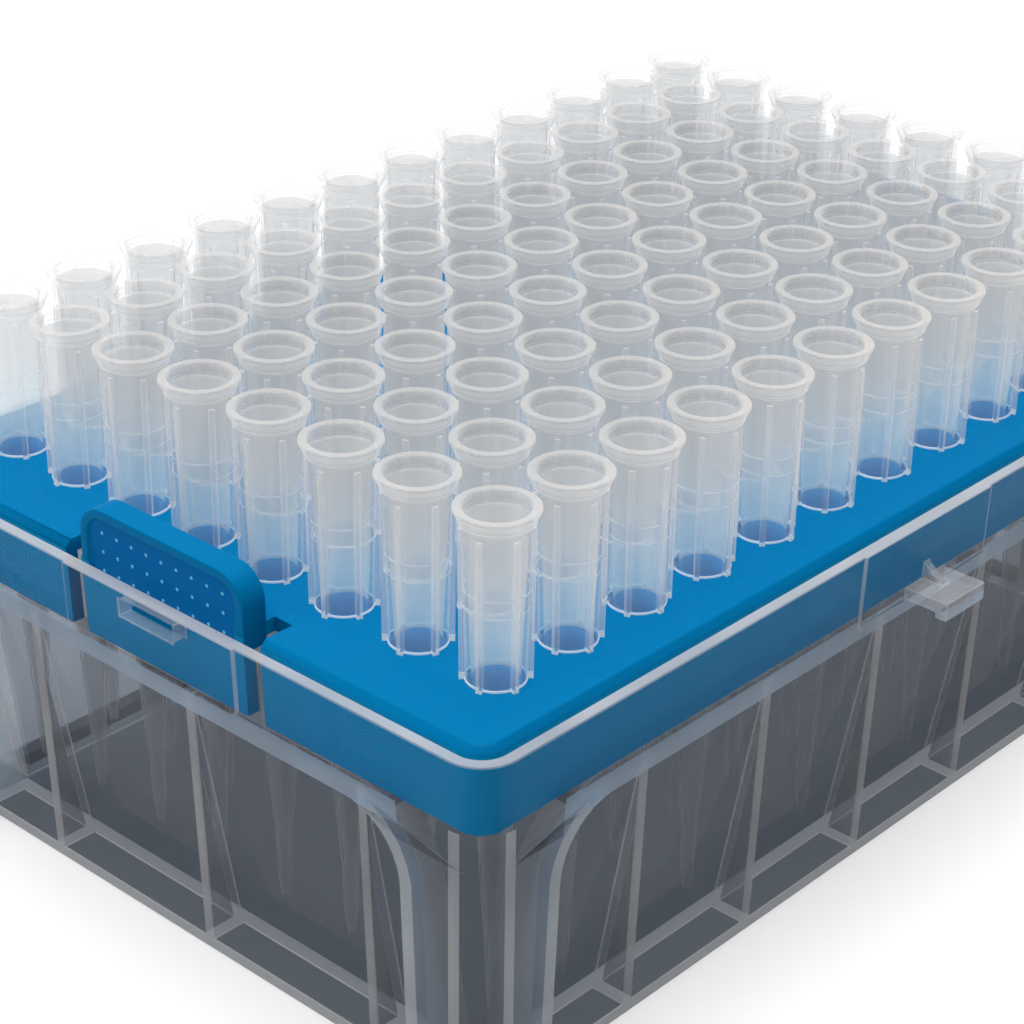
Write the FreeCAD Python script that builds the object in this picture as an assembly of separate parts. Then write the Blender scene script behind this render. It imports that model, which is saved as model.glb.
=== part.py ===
import FreeCAD, Part
import math
import os

from FreeCAD import Vector

# Box of pipette tips: 96 hollow tips stand in a coloured deck, and the deck rests in a clear base.
# X runs along the twelve columns, Y along the eight rows, Z up. The origin is the middle of the
# base's underside. Lengths are in millimetres and angles in degrees.

# ---- driving dimensions ----------------------------------------------------------------------

# Tip grid, the standard spacing of a 96-place plate.
PITCH = 9.0
COLUMNS = 12
ROWS = 8
END_MARGIN = 11.15       # outer tip centre to the rim's outside, short ends
SIDE_MARGIN = 9.1        # outer tip centre to the rim's outside, long sides

# Tip. Its round sections have flat sides, and these radii run to their corners.
LIP_RADIUS = 3.72
LIP_FLARE_HEIGHT = 1.6
HUB_HEIGHT = 16.05       # rib feet to the top of the lip
RIB_COUNT = 6
RIB_TOP_RADIUS = 3.22
RIB_FOOT_RADIUS = 3.12
WALL_TOP_RADIUS = 2.96   # hub wall between the ribs
SHAFT_RADIUS = 2.6       # where the wall enters the deck
SHAFT_LENGTH = 35.0      # rib feet to the nozzle's end
NOZZLE_RADIUS = 0.45
MOUTH_RADIUS = 2.86
BORE_END_RADIUS = 0.3

# Base.
WALL = 1.3
FLOOR = 1.3
DRAFT = 2.2              # the walls lean in by this much towards the floor
CORNER_RADIUS = 3.9      # outside, at every height
LEAST_RADIUS = 0.5       # no corner inside is sharper than this
NOZZLE_CLEARANCE = 2.25  # nozzle's end above the floor
BAND_HEIGHT = 9.1        # plain band under the rim
COLUMN_WIDTH = 10.2      # corner column, from the corner to the arch
ARCH_RADIUS = 6.2
RECESS_DEPTH = 2.1       # step from the band back to the head of the panel
PANEL_INSET = 3.75       # the panel's foot stands further back than its head
FIN_THICKNESS = 1.2
LONG_FINS = 5
LONG_FIN_START = 12.9    # arch edge to the first fin
LONG_FIN_PITCH = 17.3
END_FINS = 3
END_FIN_START = 10.55
END_FIN_PITCH = 22.0

# Raised pads on the band, the latch lug and the snap windows.
PAD_PROUD = 0.25
PAD_CORNER_RADIUS = 1.0
LUG_PAD_WIDTH = 20.2
LUG_PAD_HEIGHT = 8.0     # down from the rim
END_PAD_WIDTH = 22.8
END_PAD_HEIGHT = 6.9
LUG_WIDTH = 6.2
LUG_REACH = 4.7          # out from its pad
LUG_PLATE = 1.3
LUG_DROP = 5.95          # rim to the lug's top
LUG_LIP_HEIGHT = 1.9
LUG_LIP_THICKNESS = 1.3
GUSSET_THICKNESS = 0.9
GUSSET_HEIGHT = 1.8
GUSSET_REACH = 2.3
WINDOW_WIDTH = 7.2
WINDOW_HEIGHT = 1.8
WINDOW_DROP = 0.75       # rim to the window's top

# Deck.
DECK_PROUD = 0.75        # deck's top above the rim
DECK_PLATE = 1.4
DECK_WALL = 1.3
DECK_CLEARANCE = 0.3     # skirt to the base's wall
DECK_EDGE_CHAMFER = 0.7
HOLE_CLEARANCE = 0.16    # shaft to its hole, across the flats
TAB_WIDTH = 21.6
TAB_SET_BACK = 0.1       # deck's edge to the tab's outer face
TAB_THICKNESS = 2.7
TAB_HEIGHT = 4.95        # above the deck
TAB_CORNER_RADIUS = 3.0
TAB_EDGE_CHAMFER = 0.5
GRIP_BORDER = 1.1
GRIP_DEPTH = 0.3
GRIP_DROP = 1.5          # rim to the grip's lower end
SLOT_WIDTH = 2.2
SLOT_DEPTH = 3.8         # from the deck's edge
NIB_INSIDE = 0.4         # how far the nib reaches into the window
NIB_SIDE_CLEARANCE = 0.4
NIB_HEIGHT = 1.1

# ---- sizes that follow -----------------------------------------------------------------------

RIM_X = (COLUMNS - 1) * PITCH / 2 + END_MARGIN
RIM_Y = (ROWS - 1) * PITCH / 2 + SIDE_MARGIN
DECK_TOP = FLOOR + NOZZLE_CLEARANCE + SHAFT_LENGTH
RIM_Z = DECK_TOP - DECK_PROUD
RECESS_TOP = RIM_Z - BAND_HEIGHT
LEDGE_TOP = RECESS_TOP + WALL
LEAN = math.tan(math.radians(DRAFT))
OUTSIDE = 10.0           # how far cutting solids reach past the walls


# ---- shared shapes ---------------------------------------------------------------------------

def inset_at(z):
    """How far the drafted wall stands in from the rim at height z."""
    return LEAN * (RIM_Z - z)


def prism_along_x(points_yz, centre_x, width):
    """A flat profile in the YZ plane, extruded to both sides of centre_x."""
    start = centre_x - width / 2
    corners = [Vector(start, y, z) for y, z in points_yz]
    face = Part.Face(Part.makePolygon(corners + corners[:1]))
    return face.extrude(Vector(width, 0, 0))


def turned(shape, angle):
    """A copy of a shape, turned about the Z axis."""
    copy = shape.copy()
    copy.rotate(Vector(0, 0, 0), Vector(0, 0, 1), angle)
    return copy


def drafted_block(inset, low, high):
    """A block with round corners that follows the base's drafted outside, inset all round."""
    slabs = []
    for reach, width, angle in ((RIM_Y, 2 * RIM_X, 0), (RIM_X, 2 * RIM_Y, 90)):
        foot = reach - inset - inset_at(low)
        head = reach - inset - inset_at(high)
        profile = [(-foot, low), (foot, low), (head, high), (-head, high)]
        slabs.append(turned(prism_along_x(profile, 0, width + 2 * OUTSIDE), angle))
    block = slabs[0].common(slabs[1])
    upright = [e for e in block.Edges if e.BoundBox.ZLength > (high - low) / 2]
    return block.makeFillet(max(CORNER_RADIUS - inset, LEAST_RADIUS), upright)


# ---- base: each side is drawn facing -Y and then turned into place ----------------------------

def fin_face_y(reach, z):
    """The plane of the fins' outer edges, which is also the floor plate's edge."""
    return -reach + inset_at(z) + RECESS_DEPTH


def panel_y(reach, z):
    """The panel's outer face, which slopes in towards its foot."""
    share = (RECESS_TOP - z) / (RECESS_TOP - FLOOR)
    return fin_face_y(reach, z) + PANEL_INSET * share


def arch_prism(half_width, top, radius, low, reach):
    """A round-shouldered opening, from outside the wall to the middle of the box."""
    y = -reach - OUTSIDE
    left_centre = Vector(radius - half_width, y, top - radius)
    right_centre = Vector(half_width - radius, y, top - radius)
    towards_viewer = Vector(0, -1, 0)
    right = Part.makeCircle(radius, right_centre, towards_viewer, 0, 90)
    left = Part.makeCircle(radius, left_centre, towards_viewer, 90, 180)
    points = [
        Vector(-half_width, y, top - radius),
        Vector(-half_width, y, low),
        Vector(half_width, y, low),
        Vector(half_width, y, top - radius),
    ]
    head = Part.makeLine(Vector(radius - half_width, y, top), Vector(half_width - radius, y, top))
    edges = [left, right, head]
    edges += [Part.makeLine(points[k], points[k + 1]) for k in range(3)]
    face = Part.Face(Part.Wire(Part.__sortEdges__(edges)))
    return face.extrude(Vector(0, reach + OUTSIDE, 0))


def recess(half_span, reach, grow):
    """The space in front of a panel; grown by the wall, it is what the cavity must leave."""
    half_width = half_span - COLUMN_WIDTH + grow
    top = RECESS_TOP + grow
    outer = -reach - OUTSIDE
    profile = [
        (outer, FLOOR),
        (panel_y(reach, FLOOR) + grow, FLOOR),
        (panel_y(reach, top) + grow, top),
        (outer, top),
    ]
    arch = arch_prism(half_width, top, ARCH_RADIUS + grow, FLOOR, reach)
    return arch.common(prism_along_x(profile, 0, 2 * half_width))


def floor_notch(half_span, reach):
    """The strip that the floor plate stands back by between two columns."""
    half_width = half_span - COLUMN_WIDTH
    outer = -reach - OUTSIDE
    profile = [(outer, -1), (fin_face_y(reach, -1), -1), (fin_face_y(reach, FLOOR), FLOOR), (outer, FLOOR)]
    return prism_along_x(profile, 0, 2 * half_width)


def fin(reach, centre_x):
    """A triangular fin that stands on the floor plate and dies out at the panel's head."""
    root = WALL / 2
    profile = [
        (fin_face_y(reach, RECESS_TOP), RECESS_TOP),
        (fin_face_y(reach, FLOOR), FLOOR),
        (panel_y(reach, FLOOR) + root, FLOOR),
        (panel_y(reach, RECESS_TOP) + root, RECESS_TOP),
    ]
    return prism_along_x(profile, centre_x, FIN_THICKNESS)


def fins(half_span, reach, count, start, pitch):
    """The row of fins across one side."""
    first = -(half_span - COLUMN_WIDTH) + start
    return [fin(reach, first + index * pitch) for index in range(count)]


def pad(reach, width, height):
    """A raised pad on the band, from the rim down, with round lower corners."""
    low = RIM_Z - height
    root = WALL / 2
    profile = [
        (-reach - PAD_PROUD, RIM_Z),
        (-reach + inset_at(low) - PAD_PROUD, low),
        (-reach + inset_at(low) + root, low),
        (-reach + root, RIM_Z),
    ]
    plain = prism_along_x(profile, 0, width)
    lower_corners = [e for e in plain.Edges if e.BoundBox.ZMax < low + 1e-6 and e.Length < width / 2]
    lower_corners = [e for e in lower_corners if abs(e.CenterOfMass.x) > width / 2 - 1e-6]
    return plain.makeFillet(PAD_CORNER_RADIUS, lower_corners)


def latch_lug(reach):
    """The lid's catch: a plate with a turned-down lip and a gusset on top."""
    top = RIM_Z - LUG_DROP
    face = -reach + inset_at(top) - PAD_PROUD
    root = face + PAD_PROUD
    tip = face - LUG_REACH
    lip_bottom = top - LUG_LIP_HEIGHT
    plate = [
        (root, top),
        (tip, top),
        (tip, lip_bottom),
        (tip + LUG_LIP_THICKNESS, lip_bottom),
        (tip + LUG_LIP_THICKNESS, top - LUG_PLATE),
        (root, top - LUG_PLATE),
    ]
    gusset = [(root, top), (face - GUSSET_REACH, top), (face, top + GUSSET_HEIGHT), (root, top + GUSSET_HEIGHT)]
    return [prism_along_x(plate, 0, LUG_WIDTH), prism_along_x(gusset, 0, GUSSET_THICKNESS)]


def snap_window(reach):
    """The opening in the band that a nib on the deck snaps into."""
    top = RIM_Z - WINDOW_DROP
    corner = Vector(-WINDOW_WIDTH / 2, -reach - OUTSIDE, top - WINDOW_HEIGHT)
    return Part.makeBox(WINDOW_WIDTH, OUTSIDE + 2 * WALL + PAD_PROUD, WINDOW_HEIGHT, corner)


def make_base():
    """The clear base, moulded in one piece."""
    long_side = (RIM_X, RIM_Y)
    short_side = (RIM_Y, RIM_X)
    sides = [(long_side, 0), (short_side, 90), (long_side, 180), (short_side, 270)]
    shell = drafted_block(0, 0, RIM_Z)
    cavity = drafted_block(WALL, FLOOR, RIM_Z + 1)
    added = []
    cut = []
    for (half_span, reach), angle in sides:
        cavity = cavity.cut(turned(recess(half_span, reach, WALL), angle))
        cut.append(turned(recess(half_span, reach, 0), angle))
        cut.append(turned(floor_notch(half_span, reach), angle))
        if reach == RIM_Y:
            row = fins(half_span, reach, LONG_FINS, LONG_FIN_START, LONG_FIN_PITCH)
        else:
            row = fins(half_span, reach, END_FINS, END_FIN_START, END_FIN_PITCH)
            row.append(pad(reach, END_PAD_WIDTH, END_PAD_HEIGHT))
        added += [turned(shape, angle) for shape in row]
    added += [pad(RIM_Y, LUG_PAD_WIDTH, LUG_PAD_HEIGHT)] + latch_lug(RIM_Y)
    windows = [turned(snap_window(RIM_X), angle) for angle in (90, 270)]
    base = shell.cut(cavity).cut(Part.makeCompound(cut))
    base = base.fuse(added)
    return base.cut(windows).removeSplitter()


# ---- deck ------------------------------------------------------------------------------------

def tip_places():
    """The centre of each tip, with its column and row."""
    for column in range(COLUMNS):
        for row in range(ROWS):
            x = (column - (COLUMNS - 1) / 2) * PITCH
            y = (row - (ROWS - 1) / 2) * PITCH
            yield column, row, x, y


def ring(count, radius, z, ridge_radius=None):
    """Corners of a regular outline; with a ridge radius, a ridge stands between each two of them."""
    points = []
    for index in range(count):
        angle = 2 * math.pi * index / count
        points.append(Vector(radius * math.cos(angle), radius * math.sin(angle), z))
        if ridge_radius:
            middle = angle + math.pi / count
            points.append(Vector(ridge_radius * math.cos(middle), ridge_radius * math.sin(middle), z))
    return points


def grip_tab(face):
    """The finger tab that faces -Y: a rounded wall on the deck's edge."""
    half = TAB_WIDTH / 2
    low = DECK_TOP - DECK_PLATE / 2
    top = DECK_TOP + TAB_HEIGHT
    body = Part.makeBox(TAB_WIDTH, TAB_THICKNESS, top - low, Vector(-half, face, low))
    rounded = [e for e in body.Edges if is_tab_shoulder(e, half, top)]
    body = body.makeFillet(TAB_CORNER_RADIUS, rounded)
    front = [f for f in body.Faces if f.CenterOfMass.y < face + 1e-6]
    return body.makeChamfer(TAB_EDGE_CHAMFER, [e for e in front[0].Edges if e.BoundBox.ZMax > DECK_TOP])


def grip(face):
    """The shallow sunk field on the tab's outer face, which runs down behind the rim."""
    low = RIM_Z - GRIP_DROP
    width = TAB_WIDTH - 2 * GRIP_BORDER
    height = DECK_TOP + TAB_HEIGHT - GRIP_BORDER - low
    return Part.makeBox(width, GRIP_DEPTH + 1, height, Vector(-width / 2, face - 1, low))


def is_tab_shoulder(edge, half, top):
    """True for the two edges where the tab's top meets its ends."""
    box = edge.BoundBox
    at_end = abs(abs(box.Center.x) - half) < 1e-6
    return at_end and box.ZMin > top - 1e-6


def snap_nib(edge):
    """The nib on the tab's tongue that reaches into the base's window."""
    window_middle = RIM_Z - WINDOW_DROP - WINDOW_HEIGHT / 2
    width = WINDOW_WIDTH - 2 * NIB_SIDE_CLEARANCE
    reach = DECK_CLEARANCE + NIB_INSIDE
    low = window_middle - NIB_HEIGHT / 2
    profile = [
        (edge + DECK_WALL / 2, low),
        (edge + inset_at(low) - reach, low),
        (edge + DECK_WALL / 2, low + NIB_HEIGHT),
    ]
    return prism_along_x(profile, 0, width)


def make_deck():
    """The deck: a plate with 96 holes, a skirt that stands on the base's ledge, and two tabs."""
    inset = WALL + DECK_CLEARANCE
    deck = drafted_block(inset, LEDGE_TOP, DECK_TOP)
    top_edges = [e for e in deck.Edges if e.BoundBox.ZMin > DECK_TOP - 1e-6]
    deck = deck.makeChamfer(DECK_EDGE_CHAMFER, top_edges)
    deck = deck.cut(drafted_block(inset + DECK_WALL, LEDGE_TOP - 1, DECK_TOP - DECK_PLATE))
    edge = inset - RIM_X
    face = edge + TAB_SET_BACK
    slots = []
    for sign in (-1, 1):
        middle = sign * (TAB_WIDTH + SLOT_WIDTH) / 2
        corner = Vector(middle - SLOT_WIDTH / 2, edge - 1, LEDGE_TOP - 1)
        slots.append(Part.makeBox(SLOT_WIDTH, SLOT_DEPTH + 1, DECK_TOP - LEDGE_TOP + 2, corner))
    for angle in (90, 270):
        deck = deck.cut([turned(slot, angle) for slot in slots])
        deck = deck.fuse(turned(grip_tab(face), angle)).cut(turned(grip(face), angle))
        deck = deck.fuse(turned(snap_nib(edge), angle))
    hole_radius = SHAFT_RADIUS + HOLE_CLEARANCE / math.cos(math.pi / RIB_COUNT)
    points = ring(RIB_COUNT, hole_radius, DECK_TOP - DECK_PLATE - 1)
    hole = Part.Face(Part.makePolygon(points + points[:1])).extrude(Vector(0, 0, DECK_PLATE + 2))
    holes = []
    for _, _, x, y in tip_places():
        place = hole.copy()
        place.translate(Vector(x, y, 0))
        holes.append(place)
    return deck.cut(Part.makeCompound(holes)).removeSplitter()


# ---- tips: 96 of them, so each is a lean faceted skin ------------------------------------------

def triangle(*corners):
    """A flat three-sided face."""
    return Part.Face(Part.makePolygon(list(corners) + [corners[0]]))


def skin_between(lower, upper):
    """Triangles that join two rings; the upper has as many points as the lower, or a multiple."""
    faces = []
    share = len(upper) // len(lower)
    for index in range(len(upper)):
        following = (index + 1) % len(upper)
        near = lower[index // share]
        far = lower[following // share]
        faces.append(triangle(near, upper[following], upper[index]))
        if near != far:
            faces.append(triangle(near, far, upper[following]))
    return faces


def flat_ring(outer, inner):
    """A flat face between two rings at one height."""
    outlines = [Part.Face(Part.makePolygon(points + points[:1])) for points in (outer, inner)]
    return outlines[0].cut(outlines[1]).Faces[0]


def rib_feet(foot_ring):
    """The flat underside of each rib, outside the shaft."""
    count = len(foot_ring)
    return [triangle(foot_ring[k], foot_ring[k + 1], foot_ring[(k + 2) % count]) for k in range(0, count, 2)]


def make_tip():
    """One tip, standing on its rib feet at z = 0: flared lip, ribbed hub, shaft and bore."""
    lip = ring(2 * RIB_COUNT, LIP_RADIUS, HUB_HEIGHT)
    neck = ring(RIB_COUNT, WALL_TOP_RADIUS, HUB_HEIGHT - LIP_FLARE_HEIGHT, RIB_TOP_RADIUS)
    feet = ring(RIB_COUNT, SHAFT_RADIUS, 0, RIB_FOOT_RADIUS)
    shaft = ring(RIB_COUNT, SHAFT_RADIUS, 0)
    nozzle = ring(RIB_COUNT, NOZZLE_RADIUS, -SHAFT_LENGTH)
    mouth = ring(RIB_COUNT, MOUTH_RADIUS, HUB_HEIGHT)
    bore_end = ring(RIB_COUNT // 2, BORE_END_RADIUS, -SHAFT_LENGTH)
    faces = [flat_ring(lip, mouth), flat_ring(nozzle, bore_end)] + rib_feet(feet)
    for lower, upper in ((neck, lip), (feet, neck), (nozzle, shaft), (bore_end, mouth)):
        faces += skin_between(lower, upper)
    shell = Part.makeShell(faces)
    shell.sewShape()
    tip = Part.makeSolid(Part.Shell(shell.Faces))
    if tip.Volume < 0:
        tip.reverse()
    return tip


def make_tip_columns():
    """The tips of each column, as one node of eight separate tips."""
    tip = make_tip()
    columns = {}
    for column, _, x, y in tip_places():
        placed = tip.copy()
        placed.translate(Vector(x, y, DECK_TOP))
        columns.setdefault("tips_column_{:02d}".format(column + 1), []).append(placed)
    return {name: Part.makeCompound(tips) for name, tips in columns.items()}


# ---- export ----------------------------------------------------------------------------------

def main():
    os.makedirs("parts", exist_ok=True)
    nodes = {"base": make_base(), "deck": make_deck()}
    nodes.update(make_tip_columns())
    for name, shape in nodes.items():
        shape.exportStep(os.path.join("parts", name + ".step"))
        print(name, "solids", len(shape.Solids), "valid", shape.isValid(), "volume", round(shape.Volume, 1))


main()
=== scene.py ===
# %% [markdown]
# # A box of pipette tips
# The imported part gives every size. This lesson dresses it: clear plastic for the base, blue plastic
# for the deck, and milky plastic for the tips, which also get the round, ribbed form that the plain
# solids only hint at.

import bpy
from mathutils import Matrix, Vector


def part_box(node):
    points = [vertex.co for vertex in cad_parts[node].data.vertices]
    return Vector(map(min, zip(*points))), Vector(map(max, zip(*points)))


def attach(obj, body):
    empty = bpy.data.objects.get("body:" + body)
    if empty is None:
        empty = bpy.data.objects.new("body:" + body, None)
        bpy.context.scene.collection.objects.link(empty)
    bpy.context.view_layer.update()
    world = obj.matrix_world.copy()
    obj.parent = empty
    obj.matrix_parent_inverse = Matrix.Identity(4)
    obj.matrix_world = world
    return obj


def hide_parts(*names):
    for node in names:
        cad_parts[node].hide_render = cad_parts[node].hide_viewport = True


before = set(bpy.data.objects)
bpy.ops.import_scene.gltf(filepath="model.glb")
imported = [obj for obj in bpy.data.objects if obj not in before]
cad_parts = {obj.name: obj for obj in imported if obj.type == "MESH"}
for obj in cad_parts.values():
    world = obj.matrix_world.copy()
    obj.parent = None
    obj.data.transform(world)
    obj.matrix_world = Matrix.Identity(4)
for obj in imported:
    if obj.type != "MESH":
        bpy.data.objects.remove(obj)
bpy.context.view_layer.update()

# %% Modules and the unit
import math

import bpy
from mathutils import Matrix, Vector

MM = 0.001
print("one millimetre is", MM, "metres")

# %% [markdown]
# ## Where things are
# The heights that the lesson needs come from the part itself, so the looks follow if it changes. The
# base's box ends at its rim. The deck's plate stands a little above that rim. The tips' nozzles end
# well above the floor.

# %% Measure the part
base_low, base_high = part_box("base")
deck_low, deck_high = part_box("deck")
first_low, first_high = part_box("tips_column_01")
last_low, last_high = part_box("tips_column_12")

COLUMNS = 12
ROWS = 8
PITCH = ((last_low + last_high) - (first_low + first_high)).x / 2 / (COLUMNS - 1)
RIM_Z = base_high.z
DECK_TOP = RIM_Z + 0.75 * MM
LIP_TOP = first_high.z
NOZZLE_Z = first_low.z
print("pitch", round(PITCH / MM, 2), "deck", round(DECK_TOP / MM, 2), "lip", round(LIP_TOP / MM, 2))

# %% [markdown]
# ## Helpers for working as by hand
# Blender's operators act on whatever is selected. Each step below therefore starts with nothing
# selected and says which vertices, edges or faces it means, by where they are.

# %% Selection helpers
def only(obj):
    """Select one object and make it active, in object mode."""
    if bpy.context.object and bpy.context.object.mode != "OBJECT":
        bpy.ops.object.mode_set(mode="OBJECT")
    bpy.ops.object.select_all(action="DESELECT")
    obj.select_set(True)
    bpy.context.view_layer.objects.active = obj
    return obj


def pick(obj, kind, test):
    """Go into edit mode with just those vertices, edges or faces selected that pass the test."""
    only(obj)
    bpy.ops.object.mode_set(mode="EDIT")
    bpy.ops.mesh.select_mode(type={"vertices": "VERT", "edges": "EDGE", "polygons": "FACE"}[kind])
    bpy.ops.mesh.select_all(action="DESELECT")
    bpy.ops.object.mode_set(mode="OBJECT")
    chosen = [item for item in getattr(obj.data, kind) if test(item)]
    for item in chosen:
        item.select = True
    bpy.ops.object.mode_set(mode="EDIT")
    return len(chosen)


print("helpers ready")

# %% Settle a finished piece
def settle(obj, name, angle=35, weighted=True):
    """Merge doubles, turn the faces outward, shade by angle, and put the object at the origin."""
    only(obj)
    bpy.ops.object.transform_apply(location=True, rotation=True, scale=True)
    bpy.ops.object.mode_set(mode="EDIT")
    bpy.ops.mesh.select_all(action="SELECT")
    bpy.ops.mesh.remove_doubles(threshold=0.002 * MM)
    bpy.ops.mesh.normals_make_consistent(inside=False)
    bpy.ops.object.mode_set(mode="OBJECT")
    bpy.ops.object.shade_smooth_by_angle(angle=math.radians(angle))
    if weighted:
        bpy.ops.object.modifier_add(type="WEIGHTED_NORMAL")
        obj.modifiers[-1].keep_sharp = True
        bpy.ops.object.modifier_apply(modifier=obj.modifiers[-1].name)
    obj.name = name
    obj.data.name = name
    print(name, "has", len(obj.data.polygons), "faces")
    return obj


def dress(obj, node, slot, *materials):
    """Give a piece its materials, attach it to the root body, and hide the node of the part in its place.
    """
    for material in materials:
        obj.data.materials.append(material)
    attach(obj, "root")
    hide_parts(node)


print("settle and dress ready")

# %% [markdown]
# ## Small shader parts
# Every material below is a node tree of the same few parts: a plain shader, a mix of two, a noise,
# and a number that grows towards a surface's outline. That last one is what makes plastic look like
# plastic. Head on, a thin wall mirrors little and hides little. Seen along its length it does both.

# %% Shader and mix helpers
def new_material(name):
    """An empty node material, with its output."""
    material = bpy.data.materials.new(name)
    material.use_nodes = True
    tree = material.node_tree
    tree.nodes.clear()
    output = tree.nodes.new("ShaderNodeOutputMaterial")
    return material, tree, output


def shader(tree, kind, colour, roughness=None):
    """A plain shader node of one colour, or of a colour that another node gives."""
    node = tree.nodes.new("ShaderNodeBsdf" + kind)
    if isinstance(colour, tuple):
        node.inputs["Color"].default_value = (*colour, 1.0)
    else:
        tree.links.new(colour, node.inputs["Color"])
    if roughness is not None:
        node.inputs["Roughness"].default_value = roughness
    return node.outputs["BSDF"]


def mix(tree, factor, first, second):
    """Mix two shaders by a number or by a node's output."""
    node = tree.nodes.new("ShaderNodeMixShader")
    if isinstance(factor, float):
        node.inputs["Fac"].default_value = factor
    else:
        tree.links.new(factor, node.inputs["Fac"])
    tree.links.new(first, node.inputs[1])
    tree.links.new(second, node.inputs[2])
    return node.outputs["Shader"]


print("shader and mix ready")

# %% Helpers that give a number or a colour
def noise(tree, scale, low, high):
    """Noise on Object coordinates, stretched to run from low to high."""
    where = tree.nodes.new("ShaderNodeTexCoord")
    texture = tree.nodes.new("ShaderNodeTexNoise")
    texture.inputs["Scale"].default_value = scale
    texture.inputs["Detail"].default_value = 1.0
    spread = tree.nodes.new("ShaderNodeMapRange")
    spread.inputs["From Min"].default_value = 0.3
    spread.inputs["From Max"].default_value = 0.7
    spread.inputs["To Min"].default_value = low
    spread.inputs["To Max"].default_value = high
    tree.links.new(where.outputs["Object"], texture.inputs["Vector"])
    tree.links.new(texture.outputs["Fac"], spread.inputs["Value"])
    return spread.outputs["Result"]


def towards_outline(tree, low, high, power):
    """Low where a face is seen head on, high along its outline. A larger power keeps it low longer."""
    weight = tree.nodes.new("ShaderNodeLayerWeight")
    weight.inputs["Blend"].default_value = 0.5
    raised = tree.nodes.new("ShaderNodeMath")
    raised.operation = "POWER"
    raised.inputs[1].default_value = power
    spread = tree.nodes.new("ShaderNodeMapRange")
    spread.inputs["To Min"].default_value = low
    spread.inputs["To Max"].default_value = high
    tree.links.new(weight.outputs["Facing"], raised.inputs[0])
    tree.links.new(raised.outputs["Value"], spread.inputs["Value"])
    return spread.outputs["Result"]


def far_side(tree, near, far):
    """One number on a bore's near wall, which is seen from behind, and another on its far wall."""
    where = tree.nodes.new("ShaderNodeNewGeometry")
    spread = tree.nodes.new("ShaderNodeMapRange")
    spread.inputs["To Min"].default_value = far
    spread.inputs["To Max"].default_value = near
    tree.links.new(where.outputs["Backfacing"], spread.inputs["Value"])
    return spread.outputs["Result"]


def light_path(tree, name):
    """A number from the light path, such as whether the ray is a shadow's."""
    return tree.nodes.new("ShaderNodeLightPath").outputs[name]


def by_height(tree, low, high, foot, top):
    """A colour that changes from low to high between two heights, on Object coordinates."""
    where = tree.nodes.new("ShaderNodeTexCoord")
    split = tree.nodes.new("ShaderNodeSeparateXYZ")
    spread = tree.nodes.new("ShaderNodeMapRange")
    spread.inputs["From Min"].default_value = foot
    spread.inputs["From Max"].default_value = top
    blend = tree.nodes.new("ShaderNodeMix")
    blend.data_type = "RGBA"
    blend.inputs["A"].default_value = (*low, 1.0)
    blend.inputs["B"].default_value = (*high, 1.0)
    tree.links.new(where.outputs["Object"], split.inputs["Vector"])
    tree.links.new(split.outputs["Z"], spread.inputs["Value"])
    tree.links.new(spread.outputs["Result"], blend.inputs["Factor"])
    return blend.outputs["Result"]


print("number helpers ready")

# %% [markdown]
# ## Blue plastic
# The deck is opaque polypropylene with a satin skin. One Principled shader does it. A fine noise in
# the roughness keeps the large flat plate from looking like glass.

# %% Blue plastic
def blue_plastic(name, colour, specular):
    """Opaque plastic with a satin skin."""
    material, tree, output = new_material(name)
    skin = tree.nodes.new("ShaderNodeBsdfPrincipled")
    skin.inputs["Base Color"].default_value = (*colour, 1.0)
    skin.inputs["Specular IOR Level"].default_value = specular
    tree.links.new(noise(tree, 420.0, 0.22, 0.34), skin.inputs["Roughness"])
    tree.links.new(skin.outputs["BSDF"], output.inputs["Surface"])
    return material


blue = blue_plastic("blue_polypropylene", (0.0005, 0.142, 0.335), 0.010)
# painted light: the skirt's blue is lighter than the deck's, because the skirt gets less light than the
# top
blue_skirt_painted_light = blue_plastic("blue_skirt_painted_light", (0.0004, 0.200, 0.43), 0.01)
blue_grip = blue_plastic("blue_grip", (0.0004, 0.120, 0.36), 0.01)
# painted highlight: the dots' lighter blue stands in for the glints on them; the higher gloss is real
blue_dot_painted_glint = blue_plastic("blue_dot_painted_glint", (0.10, 0.45, 0.72), 0.5)
print("made", [material.name for material in (blue, blue_skirt_painted_light, blue_grip, blue_dot_painted_glint)])

# %% [markdown]
# ## Milky plastic
# Natural polypropylene scatters light as it lets it through. A see-through shader is mixed with a
# scattering one, and about half of the scattered light leaves on the far side, which keeps the bores
# bright. Lips, ribs and feet are thicker than the walls, so they hide more of what is behind them.
# A bore is seen twice, through the tip and down its mouth. Its near wall stays clear, and its far wall
# hides more. Near the deck the walls and bores scatter a bluer white, painted light for the deck's blue
# that bounces up onto them. The root of the shaft, which stands in the deck's hole, is painted an
# opaque blue that is brighter than the deck, painted light for the blue that fills the hole.

# %% Milky plastic
# painted light: the bluer white near the deck stands for the deck's blue light thrown up on the tips
PAINTED_BLUE_BOUNCE = (0.80, 0.96, 1.0)
BOUNCE_TOP = DECK_TOP + 9 * MM


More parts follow.
